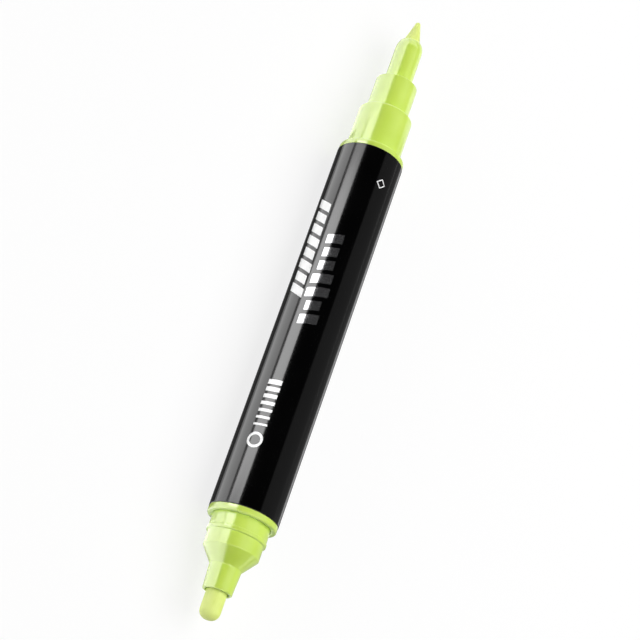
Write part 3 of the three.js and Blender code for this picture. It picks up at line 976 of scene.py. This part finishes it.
def addSoftbox(name, box):
    angle = math.radians(box["angle"])
    towards = near * math.cos(angle) + side * math.sin(angle)
    width = 2 * box["distance"] * math.tan(math.radians(box["spread"] / 2))
    data = bpy.data.lights.new(name, "AREA")
    data.shape = "RECTANGLE"
    data.size = box["length"]
    data.size_y = width
    data.energy = box["brightness"] * math.pi * box["length"] * width
    light = addObject(name, data)
    place = axisPoint + towards * box["distance"] + Vector((box["along"], 0, 0))
    across = towards.cross(Vector((1, 0, 0)))
    axes = Matrix((Vector((1, 0, 0)), across, towards)).transposed().to_4x4()
    light.matrix_world = Matrix.Translation(place) @ axes
    light.visible_camera = False
    light.visible_glossy = box["sheen"]
    light.visible_diffuse = not box["sheen"]


# A round sheet of paper whose far edge sweeps up into a low wall. In metres. It shows as plain
# white in the distance and keeps more of its own shading the nearer it is to the marker.
cove = {"flatRadius": 2.5, "radius": 5.0, "height": 0.9, "rings": 24, "steps": 96,
        "paper": (0.93, 0.93, 0.93), "whiteNear": 0.82, "nearUpTo": 0.22, "whiteFrom": 0.8}


def makeFloor():
    shape = bmesh.new()
    rings = [[shape.verts.new((0, 0, 0))]]
    for i in range(cove["rings"] + 1):
        share = i / cove["rings"]
        radius = cove["flatRadius"] + (cove["radius"] - cove["flatRadius"]) * share
        height = cove["height"] * share ** 2
        turns = [2 * math.pi * k / cove["steps"] for k in range(cove["steps"])]
        rings.append([shape.verts.new((radius * math.cos(turn), radius * math.sin(turn), height))
                      for turn in turns])
    for here, there in zip(rings, rings[1:]):
        for k in range(cove["steps"]):
            corners = [here[k % len(here)], there[k], there[(k + 1) % cove["steps"]],
                       here[(k + 1) % len(here)]]
            shape.faces.new(list(dict.fromkeys(corners)))
    mesh = toMesh("studioFloor", shape)
    mesh.polygons.foreach_set("use_smooth", [True] * len(mesh.polygons))
    floor = addObject("studioFloor", mesh)
    material, tree = emptyMaterial("palePaper")
    paper = addStep(tree, "ShaderNodeBsdfDiffuse", {"Color": (*cove["paper"], 1)})
    glow = addStep(tree, "ShaderNodeEmission", {"Color": (1, 1, 1, 1), "Strength": 1.0})
    rays = addNode(tree, "ShaderNodeLightPath").outputs
    seen = addMath(tree, "MAXIMUM", rays["Is Camera Ray"], rays["Is Glossy Ray"])
    seen = addMath(tree, "MAXIMUM", seen, rays["Is Transmission Ray"])
    place = addNode(tree, "ShaderNodeTexCoord").outputs["Object"]
    away = addNode(tree, "ShaderNodeVectorMath", {0: place}, operation="LENGTH")
    white = addStep(tree, "ShaderNodeMapRange", {
        "Value": away.outputs["Value"], "From Min": cove["nearUpTo"],
        "From Max": cove["whiteFrom"], "To Min": cove["whiteNear"], "To Max": 1.0})
    mix = addStep(tree, "ShaderNodeMixShader", {
        "Fac": addMath(tree, "MULTIPLY", seen, white), 1: paper, 2: glow})
    addNode(tree, "ShaderNodeOutputMaterial", {"Surface": mix})
    mesh.materials.append(material)


# Glowing cards, no lamps, that only the gloss of the marker shows: they paint its reflections.
# The pale ones are painted highlights and the dark ones painted shade; contactShade is the painted
# shadow under the marker. In millimetres: "near" and "far" run across from under the marker, to
# the picture's left or, below zero, to its right; "low" and "high" run along it. Each card slants
# with the view, so that it is mirrored between those two places.
cards = {
    "contactShade": {"near": 2, "far": 11, "low": -53, "high": 35, "rise": 0, "glow": 0.1},
    "barrelPale": {"near": 13, "far": 62, "low": -55, "high": 39, "rise": 0, "glow": 2.4},
    "barrelDark": {"near": 62, "far": 300, "low": -55, "high": 39, "rise": 0, "glow": 0.45},
    "bulletPale": {"near": 5, "far": 300, "low": -300, "high": -55, "rise": 0, "glow": 2.6},
    "finePale": {"near": 5, "far": 300, "low": 39, "high": 300, "rise": 0, "glow": 2.3},
    "stripBack": {"near": 900, "far": 901, "low": -1500, "high": 1500, "rise": 220, "glow": 0},
    "rightEdge": {"near": -2, "far": -21, "low": -53, "high": 36, "rise": 0, "glow": 0.1},
    "rightDark": {"near": -36, "far": -250, "low": -54, "high": 40, "rise": 60, "glow": 0.17},
    "bulletDark": {"near": -11, "far": -250, "low": -120, "high": -54, "rise": 60, "glow": 0.3},
}
cardHeight = 0.3


def addCard(name, card):
    tilt = math.radians(view["tilt"])
    eye = axisPoint.x / mm - math.sin(tilt) * view["distance"]
    corners = []
    for aside, height, order in ((card["near"], 0, ("low", "high")),
                                 (card["far"], card["rise"], ("high", "low"))):
        for along in (card[key] for key in order):
            slant = (along - eye) / (math.cos(tilt) * view["distance"])
            corner = Vector((along + slant * abs(aside), aside, cardHeight + height))
            corners.append(corner * mm)
    mesh = bpy.data.meshes.new(name)
    mesh.from_pydata(corners, [], [(0, 1, 2, 3)])
    material, tree = emptyMaterial(name)
    # The card's glow is a painted reflection in the marker's gloss: pale for a highlight, dark for
    # shade
    glow = addStep(tree, "ShaderNodeEmission", {"Color": (1, 1, 1, 1), "Strength": card["glow"]})
    addNode(tree, "ShaderNodeOutputMaterial", {"Surface": glow})
    mesh.materials.append(material)
    sheet = addObject(name, mesh)
    sheet.visible_camera = sheet.visible_diffuse = False
    sheet.visible_shadow = sheet.visible_transmission = False


# A dark room over the paper, which the black barrel mirrors
room = {"dark": (0.008, 0.008, 0.008), "haze": (0.12, 0.12, 0.12), "hazeUpTo": 0.1,
        "darkFrom": 0.3}


def makeWorld():
    world = bpy.data.worlds.new("studioWorld")
    bpy.context.scene.world = world
    world.use_nodes = True
    tree = world.node_tree
    tree.nodes.clear()
    place = addNode(tree, "ShaderNodeTexCoord").outputs["Generated"]
    way = addNode(tree, "ShaderNodeSeparateXYZ", {"Vector": place}).outputs["Z"]
    colour = addRamp(
        tree, way, (room["hazeUpTo"], room["haze"]), (room["darkFrom"], room["dark"]))
    sky = addStep(tree, "ShaderNodeBackground", {"Color": colour, "Strength": 1.0})
    addNode(tree, "ShaderNodeOutputWorld", {"Surface": sky})


makeCamera()
makeFloor()
makeWorld()
for name, card in cards.items():
    addCard(name, card)
for name, box in softboxes.items():
    addSoftbox(name, box)
bpy.context.scene.view_settings.view_transform = "Standard"
print("floor, lights and camera made")
